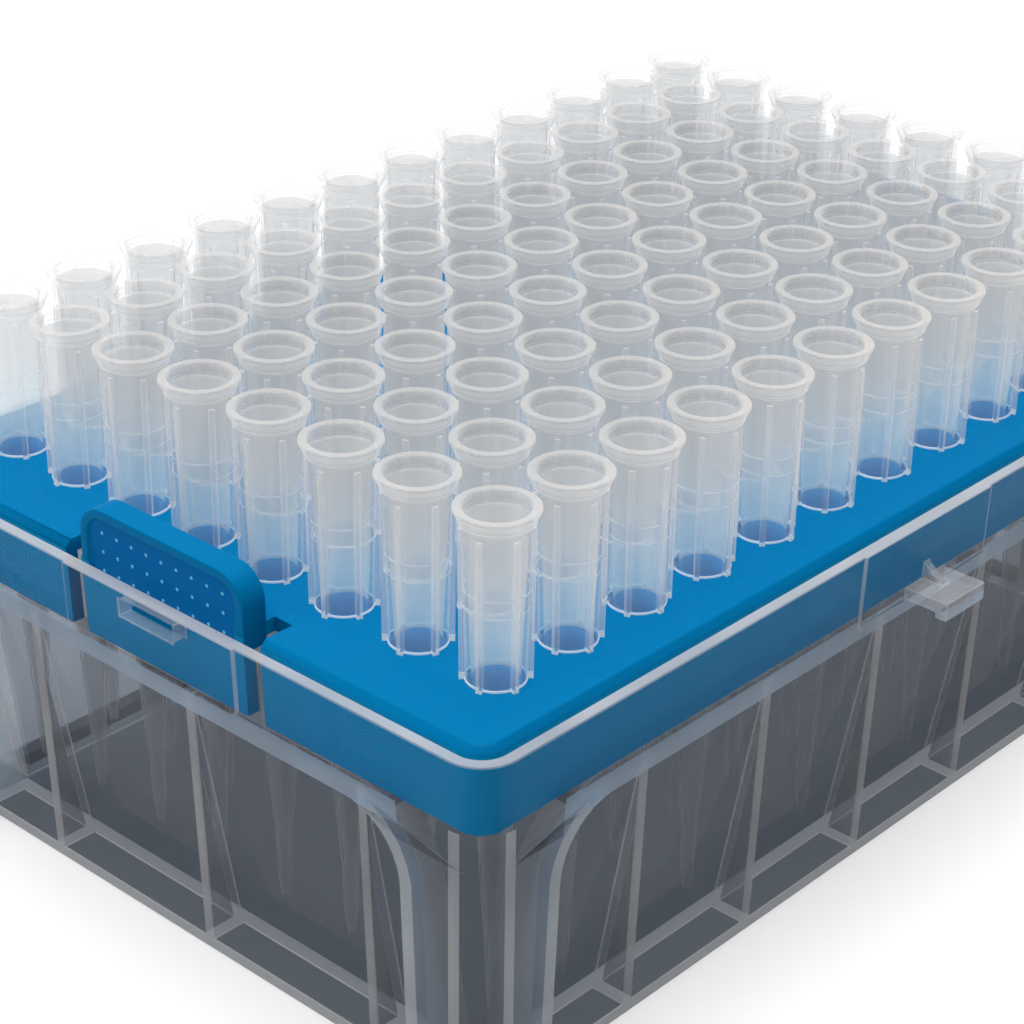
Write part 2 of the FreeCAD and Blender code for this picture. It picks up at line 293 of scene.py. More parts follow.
def milky_plastic(name, low, high, power, white, far=None, painted_bounce=False):
    """Plastic that hides from low, head on, to high, along its outline, or more on a bore's far side."""
    material, tree, output = new_material(name)
    # painted light: the scattering colour turns blue towards the deck
    if painted_bounce:
        white = by_height(tree, PAINTED_BLUE_BOUNCE, white, DECK_TOP, BOUNCE_TOP)
    scatter = mix(tree, 0.45, shader(tree, "Diffuse", white), shader(tree, "Translucent", white))
    share = towards_outline(tree, low, high, power) if far is None else far_side(tree, low, far)
    body = mix(tree, share, shader(tree, "Transparent", (0.955, 0.96, 0.965)), scatter)
    glossy = shader(tree, "Glossy", (1.0, 1.0, 1.0), 0.19)
    whole = mix(tree, towards_outline(tree, 0.02, 0.6, 5.0), body, glossy)
    tree.links.new(whole, output.inputs["Surface"])
    return material


milky_wall = milky_plastic("milky_wall", 0.14, 0.62, 3.0, (0.80, 0.80, 0.80), painted_bounce=True)
milky_rib = milky_plastic("milky_rib", 0.22, 0.55, 2.0, (0.94, 0.92, 0.91))
milky_lip = milky_plastic("milky_lip", 0.24, 0.66, 2.0, (0.95, 0.91, 0.87))
milky_line = milky_plastic("milky_line", 0.34, 0.80, 2.0, (0.95, 0.94, 0.92))
milky_foot = milky_plastic("milky_foot", 0.90, 0.98, 2.0, (0.97, 0.96, 0.95))
# painted light: the root's opaque blue, brighter than the deck's, stands in for the deck's blue light in
# its hole
milky_root_painted_blue = milky_plastic("milky_root_painted_blue", 0.90, 0.98, 2.0, (0.06, 0.42, 0.80))
milky_shaft = milky_plastic("milky_shaft", 0.16, 0.60, 3.0, (0.92, 0.92, 0.93))
milky_bore = milky_plastic("milky_bore", 0.04, 0.0, 1.0, (0.83, 0.83, 0.82), 0.58, painted_bounce=True)
MILKY = [milky_wall, milky_rib, milky_lip, milky_line, milky_foot, milky_root_painted_blue, milky_shaft, milky_bore]
print("made", [material.name for material in MILKY])

# %% [markdown]
# ## Clear plastic
# The base is clear, and it darkens what is seen through it a little. A see-through shader with a tint
# does that, with a trace of haze and a mirror layer on top. The same recipe gives eight materials.
# The walls and the band are the clearest. A wall that is seen through another wall has a second,
# deeper tint, a painted shade for the dim inside of the tub. The floor's tint is darker still, a
# painted shade for the shadow that the tub stands over. Fins and steps are seen along their length
# and look cloudy, and the rim, the edges and the strips beside them have a paler haze, painted light
# for the light that they gather.

# %% Clear plastic
SHADOW_TINT = (0.97, 0.97, 0.97)


def clear_plastic(name, tint, haze, white, deep=None):
    """Plastic with a tint for what shows through, a share of haze, and a darker tint for behind other
    walls, which is painted shade.
    """
    material, tree, output = new_material(name)
    scatter = mix(tree, 0.5, shader(tree, "Diffuse", white), shader(tree, "Translucent", white))
    cloud = noise(tree, 90.0, 0.85 * haze, 1.15 * haze)
    through = shader(tree, "Transparent", tint)
    # painted shade: behind another wall the deeper tint takes over
    if deep:
        behind = tree.nodes.new("ShaderNodeMath")
        behind.operation = "GREATER_THAN"
        behind.inputs[1].default_value = 1.5
        tree.links.new(light_path(tree, "Transparent Depth"), behind.inputs[0])
        through = mix(tree, behind.outputs["Value"], through, shader(tree, "Transparent", deep))
    in_shadow = light_path(tree, "Is Shadow Ray")
    through = mix(tree, in_shadow, through, shader(tree, "Transparent", SHADOW_TINT))
    body = mix(tree, cloud, through, scatter)
    glossy = shader(tree, "Glossy", (0.9, 0.9, 0.9), 0.06)
    whole = mix(tree, towards_outline(tree, 0.001, 0.25, 5.0), body, glossy)
    tree.links.new(whole, output.inputs["Surface"])
    return material


# painted shade: the wall's second tint darkens what is seen through two walls
clear_wall = clear_plastic("clear_wall", (0.79, 0.81, 0.84), 0.048, (0.76, 0.80, 0.86), (0.52, 0.54, 0.57))
# painted light: the edges' paler haze stands for the light that such edges gather
clear_edge_painted_light = clear_plastic("clear_edge_painted_light", (0.90, 0.90, 0.90), 0.45, (0.80, 0.79, 0.80))
clear_web = clear_plastic("clear_web", (0.80, 0.81, 0.83), 0.15, (0.76, 0.80, 0.86))
# painted shade: the floor plate's dark tint stands for the shadow that the tub stands over
clear_floor_painted_shade = clear_plastic("clear_floor_painted_shade", (0.395, 0.42, 0.455), 0.006, (0.8, 0.82, 0.85))
clear_band = clear_plastic("clear_band", (0.94, 0.95, 0.96), 0.004, (0.70, 0.80, 0.90))
clear_frost = clear_plastic("clear_frost", (0.90, 0.90, 0.91), 0.26, (0.78, 0.80, 0.84))
# painted light: the rim's paler haze stands for the light that it gathers
clear_rim_painted_light = clear_plastic("clear_rim_painted_light", (0.90, 0.90, 0.90), 0.55, (0.82, 0.80, 0.80))
clear_foot = clear_plastic("clear_foot", (0.86, 0.88, 0.90), 0.40, (0.60, 0.76, 0.92))
CLEAR = [clear_wall, clear_edge_painted_light, clear_web, clear_floor_painted_shade, clear_band, clear_frost, clear_rim_painted_light, clear_foot]
print("made", [material.name for material in CLEAR])

# %% [markdown]
# ## The base
# The solid already has the true walls. What it lacks are the narrow rounded edges that every moulding
# has, and on clear plastic those edges show most, because they gather light. A copy of the solid is
# merged and its flat faces are joined up. It is then cut into the fields that look different. Last,
# its sharp edges are bevelled, and the bevels take the brighter material, painted light for the light
# that such edges gather.

# %% Copy a node as a piece that can be worked on
def workpiece(node):
    """A copy of a node's mesh, merged and with its flat faces whole."""
    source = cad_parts[node]
    copy = bpy.data.objects.new(node + "_work", source.data.copy())
    bpy.context.scene.collection.objects.link(copy)
    copy.data.materials.clear()
    only(copy)
    bpy.ops.object.mode_set(mode="EDIT")
    bpy.ops.mesh.select_all(action="SELECT")
    bpy.ops.mesh.remove_doubles(threshold=0.002 * MM)
    bpy.ops.mesh.dissolve_limited(angle_limit=math.radians(0.5))
    bpy.ops.object.mode_set(mode="OBJECT")
    return copy


base = workpiece("base")
print("base copy has", len(base.data.polygons), "faces")

# %% Heights and places on the base
BAND_FOOT = RIM_Z - 9.1 * MM
STRIP_TOP = deck_low.z + 1.0 * MM
FLOOR_TOP = 1.3 * MM
ARCH_X = 50.4 * MM
ARCH_Y = 30.4 * MM
print("band foot", round(BAND_FOOT / MM, 2), "strip top", round(STRIP_TOP / MM, 2))

# %% [markdown]
# ## Cutting the base into fields
# The band runs into the corner columns without a step, so in the solid they are one face. Bisect cuts
# such a face at a plane and leaves its shape alone. Two level cuts set the band apart, with a strip
# below the deck's skirt that looks hazy. Four upright cuts end that strip at the arches.

# %% Bisect the band
def cut(obj, test, place, direction):
    """Bisect the faces that pass the test at a plane."""
    pick(obj, "polygons", test)
    bpy.ops.mesh.bisect(plane_co=place, plane_no=direction)
    bpy.ops.object.mode_set(mode="OBJECT")


def upright(face):
    """True for a face that stands, give or take the walls' lean."""
    return abs(face.normal.z) < 0.1


def in_strip(face):
    """True for upright faces of the strip below the skirt, inside and out."""
    return BAND_FOOT < face.center.z < STRIP_TOP and upright(face)


for height in (BAND_FOOT, STRIP_TOP):
    cut(base, lambda face: True, (0, 0, height), (0, 0, 1))
for side in (1, -1):
    cut(base, in_strip, (side * ARCH_X, 0, 0), (1, 0, 0))
for side in (1, -1):
    cut(base, in_strip, (0, side * ARCH_Y, 0), (0, 1, 0))
print("base copy has", len(base.data.polygons), "faces")

# %% [markdown]
# The flat sides of the corner columns brighten beside their arches. An inset gives each of them a
# narrow frame, and part of that frame is painted later.

# %% Inset the corner columns
def reach(face):
    """How far a face's middle stands from the box's axis, in x and in y, and its height."""
    return abs(face.center.x), abs(face.center.y), face.center.z


def outward(face):
    """True for a face that looks away from the box's axis."""
    return face.normal.xy.dot(face.center.xy) > 0


def steepness(face):
    """How squarely a face looks along x or along y: 1 on the flat sides, less on the round corners."""
    return max(abs(face.normal.x), abs(face.normal.y))


def is_column(face):
    """True for the flat outside of a corner column, below the band."""
    x, y, z = reach(face)
    skin = x > base_high.x - 2.0 * MM or y > base_high.y - 1.8 * MM
    return outward(face) and steepness(face) > 0.998 and skin and z < BAND_FOOT


print("columns inset:", pick(base, "polygons", is_column))
bpy.ops.mesh.inset(thickness=1.5 * MM)
bpy.ops.object.mode_set(mode="OBJECT")

# %% [markdown]
# ## Painting the base
# Each material goes on the faces that a test names by place, size and direction. Some tests overlap,
# and the later one wins, so the wide fields come first and the narrow ones last.

# %% Tests for the band, the fins and the floor
def paint(obj, material, test):
    """Give the faces that pass the test one of the object's materials."""
    count = pick(obj, "polygons", test)
    obj.active_material_index = obj.data.materials.find(material.name)
    bpy.ops.object.material_slot_assign()
    bpy.ops.object.mode_set(mode="OBJECT")
    return count


def is_band(face):
    """True for the band and all that is on it."""
    return face.center.z > BAND_FOOT - 0.5 * MM


def is_web(face):
    """True for fins and for the sides of the recesses, which stand across a wall."""
    x, y, z = reach(face)
    long_side = y > base_high.y - 6.2 * MM and x < base_high.x - 6.5 * MM and abs(face.normal.y) < 0.5
    short_side = x > base_high.x - 6.2 * MM and y < base_high.y - 6.5 * MM and abs(face.normal.x) < 0.5
    return (long_side or short_side) and z < BAND_FOOT + 0.5 * MM


def is_fin_edge(face):
    """True for the narrow outer faces of the fins, and for the floor plate's outer edge."""
    x, y, z = reach(face)
    on_long = base_high.y - 4.2 * MM < y < base_high.y - 1.7 * MM and abs(face.normal.y) > 0.9
    on_short = base_high.x - 4.5 * MM < x < base_high.x - 1.9 * MM and abs(face.normal.x) > 0.9
    return (on_long or on_short) and outward(face) and z < BAND_FOOT and upright(face)


def is_floor(face):
    """True for both sides of the floor plate."""
    return abs(face.normal.z) > 0.9 and face.center.z < FLOOR_TOP + 0.2 * MM


print("tests for the wide fields ready")

# %% Tests for the columns and their arches
def by_an_arch(face):
    """True for the part of a column's frame that runs along its arch."""
    x, y, z = reach(face)
    width = 1.6 * MM if z > BAND_FOOT - 0.9 * MM else 3.1 * MM
    beside = y < ARCH_Y + width or x < ARCH_X + width
    return is_column(face) and beside and face.area < 45 * MM * MM and z > FLOOR_TOP + 0.4 * MM


def is_corner_end(face):
    """True for the two upright facets where a column's round corner ends."""
    x, y, z = reach(face)
    corner = x > base_high.x - 6 * MM and y > base_high.y - 6 * MM
    facet = 0.97 < steepness(face) < 0.998 and face.area < 20 * MM * MM and upright(face)
    return outward(face) and facet and corner and FLOOR_TOP + 0.4 * MM < z < STRIP_TOP


def is_arch_side(face):
    """True for the inner sides of the arches, which the corner columns let us see."""
    x, y, z = reach(face)
    small = face.area < 120 * MM * MM
    by_end = 25.2 * MM < y < 36 * MM and 50 * MM < x < 59.5 * MM and abs(face.normal.x) < 0.05
    by_long = 45.4 * MM < x < 57 * MM and 31 * MM < y < 39.3 * MM and abs(face.normal.y) < 0.05
    return outward(face) and small and FLOOR_TOP + 0.2 * MM < z < BAND_FOOT and (by_end or by_long)


def is_reveal(face):
    """True for the outer sides of the arches, with their curved heads."""
    x, y, z = reach(face)
    by_end = 25 * MM < y < 31 * MM and x > 54 * MM and abs(face.normal.x) < 0.3
    by_long = 45 * MM < x < 51 * MM and y > 34 * MM and abs(face.normal.y) < 0.3
    to_window = face.normal.xy.dot(face.center.xy) < 0 or face.normal.z < -0.5
    return to_window and FLOOR_TOP + 0.2 * MM < z < BAND_FOOT + 0.2 * MM and (by_end or by_long)


print("tests for the columns ready")

# %% Tests for the small parts
def is_ledge(face):
    """True for the steps at the band's foot."""
    return abs(face.normal.z) > 0.9 and BAND_FOOT - 0.1 * MM < face.center.z < BAND_FOOT + 1.5 * MM


def is_foot_strip(face):
    """True for the outside of the strip below the skirt, between the arches."""
    x, y, z = reach(face)
    return in_strip(face) and outward(face) and (y < ARCH_Y and x > 59 * MM or x < ARCH_X and y > 39 * MM)


def is_slot(face):
    """True for the four sides of a snap window."""
    x, y, z = reach(face)
    window = x > base_high.x - 2.2 * MM and y < 3.8 * MM and RIM_Z - 3 * MM < z < RIM_Z - 0.5 * MM
    return window and abs(face.normal.x) < 0.5


def is_lug(face):
    """True for the latch lug on the front."""
    return face.center.y < -base_high.y - 0.3 * MM


def is_rim(face):
    """True for the level top of the rim."""
    return face.normal.z > 0.9 and face.center.z > RIM_Z - 0.8 * MM


print("tests for the small parts ready")

# %% Paint the base
for material in CLEAR:
    base.data.materials.append(material)
print("band faces:", paint(base, clear_band, is_band))
print("web faces:", paint(base, clear_web, is_web))
print("fin edges:", paint(base, clear_edge_painted_light, is_fin_edge))
print("lug faces:", paint(base, clear_frost, is_lug))
print("floor faces:", paint(base, clear_floor_painted_shade, is_floor))
print("strips by the arches:", paint(base, clear_edge_painted_light, by_an_arch))
print("ends of the corners:", paint(base, clear_edge_painted_light, is_corner_end))
print("arch sides:", paint(base, clear_edge_painted_light, is_arch_side))
print("ledge faces:", paint(base, clear_frost, is_ledge))
print("reveals of the arches:", paint(base, clear_foot, is_reveal))
print("foot strip:", paint(base, clear_foot, is_foot_strip))
print("slot faces:", paint(base, clear_frost, is_slot))
print("rim faces:", paint(base, clear_rim_painted_light, is_rim))

# %% Bevel the base's sharp edges
EDGE_WIDTH = 0.13 * MM
only(base)
bpy.ops.object.mode_set(mode="EDIT")
bpy.ops.mesh.select_mode(type="EDGE")
bpy.ops.mesh.select_all(action="DESELECT")
bpy.ops.mesh.edges_select_sharp(sharpness=math.radians(30))
# the bevels take the edge material, painted light along the sharp edges
bpy.ops.mesh.bevel(offset=EDGE_WIDTH, segments=1, material=CLEAR.index(clear_edge_painted_light), clamp_overlap=False)
bpy.ops.object.mode_set(mode="OBJECT")
settle(base, "base_clear")
dress(base, "base", "clear_plastic")

# %% [markdown]
# ## The deck
# The deck keeps its solid form. Its outer edge is a flat chamfer there, and here both sides of the
# chamfer are bevelled once more, so that the edge rolls over as the moulded one does.

# %% Round the deck's edge
deck = workpiece("deck")
CHAMFER = 0.7 * MM


def on_deck_edge(edge):
    """True for the level edges where the chamfer starts and ends, away from the tabs."""
    ends = [deck.data.vertices[k].co for k in edge.vertices]
    heights = [end.z for end in ends]
    level = abs(heights[0] - heights[1]) < 0.01 * MM
    near_top = any(abs(heights[0] - h) < 0.02 * MM for h in (DECK_TOP, DECK_TOP - CHAMFER))
    along_long = [abs(end.y) > base_high.y - 4 * MM for end in ends]
    along_short = [abs(end.x) > base_high.x - 2.8 * MM for end in ends]
    return level and near_top and all(a or b for a, b in zip(along_long, along_short))


print("edges rounded:", pick(deck, "edges", on_deck_edge))
bpy.ops.mesh.bevel(offset=0.22 * MM, segments=2, clamp_overlap=True)
bpy.ops.object.mode_set(mode="OBJECT")

# %% [markdown]
# ## The finger tabs
# The solid's tab has sharp inner edges and a square-cornered grip. The moulded one is round all over,
# and the grip follows its outline. Each tab is therefore modelled anew from a cube, a hair larger than
# the old one. The old tab is drawn in, so that it stays inside.

# %% Draw in the plain tabs
GRIP_DEPTH = 0.3 * MM
TAB_FACE = max(abs(v.co.x) for v in deck.data.vertices if v.co.z > DECK_TOP + 1 * MM)
TAB_END = max(v.co.y for v in deck.data.vertices if v.co.z > DECK_TOP + 1 * MM)
TAB_BACK = TAB_FACE - 2.7 * MM
TAB_FOOT = RIM_Z - 1.5 * MM
TAB_TOP = deck_high.z
for side in (-1, 1):
    pick(deck, "vertices", lambda v: v.co.x * side > 0 and v.co.z > DECK_TOP + 0.1 * MM)
    middle = (side * (TAB_FACE + TAB_BACK) / 2, 0, DECK_TOP)
    bpy.ops.transform.resize(value=(0.4, 0.9, 0.7), center_override=middle)
settle(deck, "deck_blue", 50)
print("tabs reach from", round(TAB_BACK / MM, 2), "to", round(TAB_FACE / MM, 2))

# %% Model one tab
GROWTH = 0.02 * MM
SHOULDER = 3.0 * MM
GRIP_BORDER = 1.0 * MM
bpy.ops.object.select_all(action="DESELECT")
centre = ((TAB_FACE + TAB_BACK) / 2, 0, (TAB_FOOT + TAB_TOP) / 2)
bpy.ops.mesh.primitive_cube_add(size=1, location=centre)
tab = bpy.context.object
tab.scale = (TAB_FACE - TAB_BACK + 2 * GROWTH, 2 * (TAB_END + GROWTH), TAB_TOP - TAB_FOOT)
bpy.ops.object.transform_apply(location=True, scale=True)


def on_shoulder(edge):
    """True for the two edges where the tab's top meets its ends."""
    ends = [tab.data.vertices[k].co for k in edge.vertices]
    return all(end.z > DECK_TOP for end in ends) and abs(ends[0].y - ends[1].y) < 1 * MM


pick(tab, "edges", on_shoulder)
bpy.ops.mesh.bevel(offset=SHOULDER, segments=8)
bpy.ops.object.mode_set(mode="OBJECT")
pick(tab, "polygons", lambda face: face.normal.x > 0.9)
bpy.ops.mesh.inset(thickness=GRIP_BORDER)
bpy.ops.mesh.extrude_region_move(TRANSFORM_OT_translate={"value": (-GRIP_DEPTH, 0, 0)})
bpy.ops.object.mode_set(mode="OBJECT")
field = [face for face in tab.data.polygons if face.select][0]
field_low = min(tab.data.vertices[k].co.z for k in field.vertices)
print("lowered:", pick(tab, "vertices", lambda v: abs(v.co.z - field_low) < 0.01 * MM))
bpy.ops.transform.translate(value=(0, 0, TAB_FOOT + 0.2 * MM - field_low))
bpy.ops.mesh.select_all(action="DESELECT")
bpy.ops.mesh.edges_select_sharp(sharpness=math.radians(40))
bpy.ops.mesh.bevel(offset=0.16 * MM, segments=2)
bpy.ops.object.mode_set(mode="OBJECT")

# %% Join both tabs to the deck
tab_far = bpy.data.objects.new("tab_far", tab.data.copy())
bpy.context.scene.collection.objects.link(tab_far)
tab_far.rotation_euler.z = math.pi
only(deck)
tab.select_set(True)
tab_far.select_set(True)
bpy.ops.object.join()
settle(deck, "deck_blue", 50)

# %% [markdown]
# The skirt is seen through the clear band, which takes some of its colour, and it gets less light
# than the top. Its blue is therefore painted lighter than the deck's, a painted light. The sunk field
# of a grip is a little darker than its border.

# %% Paint the deck
def is_field(face):
    """True for the sunk field of a grip."""
    deep = abs(abs(face.center.x) - (TAB_FACE + GROWTH - GRIP_DEPTH)) < 0.03 * MM
    return deep and abs(face.normal.x) > 0.95 and face.area > 20 * MM * MM


def is_skirt(face):
    """True for the outside of the skirt, which is seen through the clear band."""
    x, y, z = reach(face)
    at_edge = x > 57 * MM or y > 37 * MM
    return outward(face) and abs(face.normal.z) < 0.5 and z < RIM_Z and at_edge


for material in (blue, blue_skirt_painted_light, blue_grip):
    deck.data.materials.append(material)
print("field faces:", paint(deck, blue_grip, is_field))
print("skirt faces:", paint(deck, blue_skirt_painted_light, is_skirt))
dress(deck, "deck", "blue_plastic")

# %% [markdown]
# ## One tip
# A tip is a turned form with six ribs. It starts as a circle at the nozzle's end. The circle is
# extruded and resized from one height to the next: up the outside, over the lip, and down the bore.
# The two open ends are then bridged. A spin of a drawn profile would give the same form, but this way
# every ring is there to be selected later, when the ribs are drawn out.

# %% The tip's profile, in radii and heights above the deck, in millimetres
NOZZLE = (NOZZLE_Z - DECK_TOP) / MM
LIP = (LIP_TOP - DECK_TOP) / MM
LINES = (7.01, 8.63)
shaft = [
    (0.365, NOZZLE), (0.65, NOZZLE + 2.2), (0.825, NOZZLE + 7.6), (1.25, NOZZLE + 13.7),
    (2.19, -4.0), (2.31, -2.0), (2.42, -0.5), (2.58, -0.05),
]
hub = [
    (2.68, 0.0), (2.68, 0.15), (2.60, 0.22), (2.585, 0.40),
    (2.74, 6.88), (2.80, 6.94), (2.80, 7.08), (2.74, 7.14),
    (2.78, 8.50), (2.84, 8.56), (2.84, 8.70), (2.78, 8.76),
    (2.93, LIP - 2.0), (3.00, LIP - 1.50),
]
flared_lip = [
    (3.24, LIP - 1.34), (3.30, LIP - 1.20), (3.30, LIP - 1.10), (3.40, LIP - 0.85),
    (3.62, LIP - 0.42), (3.72, LIP - 0.22), (3.70, LIP - 0.06), (3.62, LIP),
]
bore = [
    (3.02, LIP), (2.90, LIP - 0.10), (2.84, LIP - 0.40), (2.72, LIP - 1.2), (2.66, LIP - 2.2),
    (2.08, 0.0), (1.96, -2.0), (1.84, -4.0),
    (0.95, NOZZLE + 13.7), (0.5, NOZZLE + 7.6), (0.4, NOZZLE + 2.2), (0.2, NOZZLE),
]
PROFILE = shaft + hub + flared_lip + bore
print("the profile has", len(PROFILE), "rings")

# %% Draw the profile round
SIDES = 36


def turn_profile(profile, sides):
    """Extrude and resize a circle along a profile of radii and heights, and close it up."""
    bpy.ops.object.select_all(action="DESELECT")
    radius, height = profile[0]
    start = (0, 0, DECK_TOP + height * MM)
    bpy.ops.mesh.primitive_circle_add(vertices=sides, radius=radius * MM, location=start)
    obj = bpy.context.object
    bpy.ops.object.transform_apply(location=True)
    bpy.ops.object.mode_set(mode="EDIT")
    bpy.ops.mesh.select_mode(type="VERT")
    bpy.ops.mesh.select_all(action="SELECT")
    for (old_radius, old_height), (new_radius, new_height) in zip(profile, profile[1:]):
        step = (0, 0, (new_height - old_height) * MM)
        share = new_radius / old_radius
        centre = (0, 0, DECK_TOP + new_height * MM)
        bpy.ops.mesh.extrude_region_move(TRANSFORM_OT_translate={"value": step})
        bpy.ops.transform.resize(value=(share, share, 1), center_override=centre)
    bpy.ops.mesh.select_all(action="DESELECT")
    bpy.ops.mesh.select_non_manifold()
    bpy.ops.mesh.bridge_edge_loops()
    bpy.ops.object.mode_set(mode="OBJECT")
    return obj


tip = turn_profile(PROFILE, SIDES)
print("turned tip has", len(tip.data.polygons), "faces")

# %% [markdown]
# The ribs are drawn out of the turned wall: one strip of faces in six is extruded on the spot, and
# each level of it is then resized to the rib's radius there. Their feet stand on the deck and carry
# the tip.

# %% Draw out the ribs
RIB_FOOT = 3.12
RIB_GROWTH = 0.10 / 14
RIB_HEAD = LIP - 1.8
RIB_SPACING = 60
FIRST_RIB = 35


def height_of(face):
    """A face's height above the deck, in millimetres."""
    return (face.center.z - DECK_TOP) / MM


def on_rib(face):
    """True for the outer faces of one strip in six, from the deck up to the neck."""
    angle = math.degrees(math.atan2(face.center.y, face.center.x))
    near_rib = (angle - FIRST_RIB + 1) % RIB_SPACING < 2
    return near_rib and 0 < height_of(face) < RIB_HEAD and outward(face)


settle(tip, "tip", weighted=False)
print("rib faces:", pick(tip, "polygons", on_rib))
bpy.ops.mesh.extrude_region_move()
bpy.ops.object.mode_set(mode="OBJECT")
drawn = [v.index for v in tip.data.vertices if v.select]
levels = {}
for index in drawn:
    co = tip.data.vertices[index].co
    levels.setdefault(round(co.z / MM, 3), []).append(index)
for level, members in sorted(levels.items()):
    radius = tip.data.vertices[members[0]].co.xy.length / MM
    pick(tip, "vertices", lambda v: v.index in members)
    share = (RIB_FOOT + RIB_GROWTH * (level - DECK_TOP / MM)) / radius
    bpy.ops.transform.resize(value=(share, share, 1), center_override=(0, 0, level * MM))
bpy.ops.object.mode_set(mode="OBJECT")
settle(tip, "tip", 32, weighted=False)

# %% Tests for the tip's parts
def off_wall(face):
    """How far a face stands outside the hub's wall, in millimetres."""
    return face.center.xy.length / MM - (2.58 + 0.0255 * height_of(face))


def is_rib(face):
    """True for the ribs' faces."""
    return 0 < height_of(face) < RIB_HEAD and off_wall(face) > 0.1


def is_lip(face):
    """True for the flared lip."""
    return height_of(face) > LIP - 1.45 and face.center.xy.length > 2.8 * MM


def is_line(face):
    """True for the thin lines: the two graduations, and the bead under the lip."""
    height = height_of(face)
    bead = abs(height - (LIP - 1.15)) < 0.06
    ring = min(abs(height - line) for line in LINES) < 0.04
    return off_wall(face) > -0.1 and (bead or ring and off_wall(face) < 0.12)


def is_foot(face):
    """True for the ribs' feet and the thin ring where the hub meets the deck."""
    height = height_of(face)
    return -0.02 < height < 0.38 and off_wall(face) > 0.03


def is_shaft(face):
    """True for all that is below the deck's top."""
    return height_of(face) < -0.1


def is_root(face):
    """True for the part of the shaft that passes through the deck, which takes a painted blue light from
    the deck's hole.
    """
    return -4 < height_of(face) < -0.02


def is_bore(face):
    """True for the bore inside the hub."""
    return 0 < height_of(face) < LIP - 1.0 and off_wall(face) < -0.1


print("tests for the tip ready")

# %% Paint the tip
for material in MILKY:
    tip.data.materials.append(material)
print("bore faces:", paint(tip, milky_bore, is_bore))
print("rib faces:", paint(tip, milky_rib, is_rib))
print("lip faces:", paint(tip, milky_lip, is_lip))
print("shaft faces:", paint(tip, milky_shaft, is_shaft))
print("root faces:", paint(tip, milky_root_painted_blue, is_root))
print("line faces:", paint(tip, milky_line, is_line))
print("foot faces:", paint(tip, milky_foot, is_foot))

# %% [markdown]
# ## All the tips
# The finished tip is copied to each place in the grid. Tips drop into the deck at any turn, so each
# copy is turned a little differently about its own axis. The eight tips of a column become one piece,
# as they are in the part. So much light passes through them that they cast hardly any shadow, and
# with their shadows off the render is brighter between the rows, as a real rack is, and quicker.

# %% Fill the deck
def tip_turn(column, row):
    """Where the first rib of a tip points, in degrees."""
    return 40 + 5 * column - 2 * row + (17 * column * row) % 23


for column in range(COLUMNS):
    copies = []
    for row in range(ROWS):
        copy = bpy.data.objects.new("tip_copy", tip.data.copy())
        bpy.context.scene.collection.objects.link(copy)
        copy.location = ((column - (COLUMNS - 1) / 2) * PITCH, (row - (ROWS - 1) / 2) * PITCH, 0)
        copy.rotation_euler.z = math.radians(tip_turn(column, row))
        copies.append(copy)
    only(copies[0])
    for copy in copies:
        copy.select_set(True)
    bpy.ops.object.join()
    bpy.ops.object.transform_apply(location=True, rotation=True)
    node = "tips_column_{:02d}".format(column + 1)
    filled = bpy.context.object
    filled.name = node + "_milky"
    filled.visible_shadow = False
    dress(filled, node, "tip_plastic")
bpy.data.objects.remove(tip)
print("tips placed:", COLUMNS * ROWS)

# %% [markdown]
# ## The grip's dots
# Each finger tab has three rows of small raised dots that give the finger a hold. One dot is a low
# dome. It is copied along the rows on both tabs, and all of them become one piece. Their blue is
# painted lighter than the deck's, a painted highlight for the glints that the small domes catch.

# %% Dots on the tabs
DOT_PITCH = 2.0 * MM
DOT_RADIUS = 0.2 * MM
DOTS_IN_ROW = 9
DOT_ROWS = [deck_high.z - h * MM for h in (2.4, 4.3, 6.2)]
GRIP_FACE = TAB_FACE - GRIP_DEPTH
bpy.ops.object.select_all(action="DESELECT")
bpy.ops.mesh.primitive_uv_sphere_add(segments=10, ring_count=6, radius=DOT_RADIUS)
dot = bpy.context.object
pick(dot, "vertices", lambda v: v.co.z < -0.01 * MM)
bpy.ops.mesh.delete(type="VERT")
bpy.ops.mesh.select_all(action="DESELECT")
bpy.ops.mesh.select_non_manifold()
bpy.ops.mesh.fill()
bpy.ops.mesh.select_all(action="SELECT")
bpy.ops.transform.resize(value=(1, 1, 0.6), center_override=(0, 0, 0))
bpy.ops.object.mode_set(mode="OBJECT")
print("one dot has", len(dot.data.polygons), "faces")

# %% Copy the dot along the rows
dots = []
for side in (-1, 1):
    for height in DOT_ROWS:
        for index in range(DOTS_IN_ROW):
            copy = bpy.data.objects.new("dot_copy", dot.data.copy())
            bpy.context.scene.collection.objects.link(copy)
            along = (index - DOTS_IN_ROW // 2) * DOT_PITCH
            copy.rotation_euler.y = side * math.pi / 2
            copy.location = (side * (GRIP_FACE - GROWTH), along, height)
            dots.append(copy)
only(dots[0])
for copy in dots:
    copy.select_set(True)
bpy.ops.object.join()
grip_dots = settle(bpy.context.object, "grip_dots")
grip_dots.data.materials.append(blue_dot_painted_glint)
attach(grip_dots, "root")
bpy.data.objects.remove(dot)

# %% [markdown]
# ## Floor, light and camera
# The box stands on a plain pale floor, which the camera sees a little brighter than it is, so that it
# meets the white around it without an edge. A broad soft light hangs over the box, and a faint one
# stands at its left. The world fills the shadows. It is brightest overhead and dimmer on the lug's
# side, which gives clear plastic something to show its edges by.

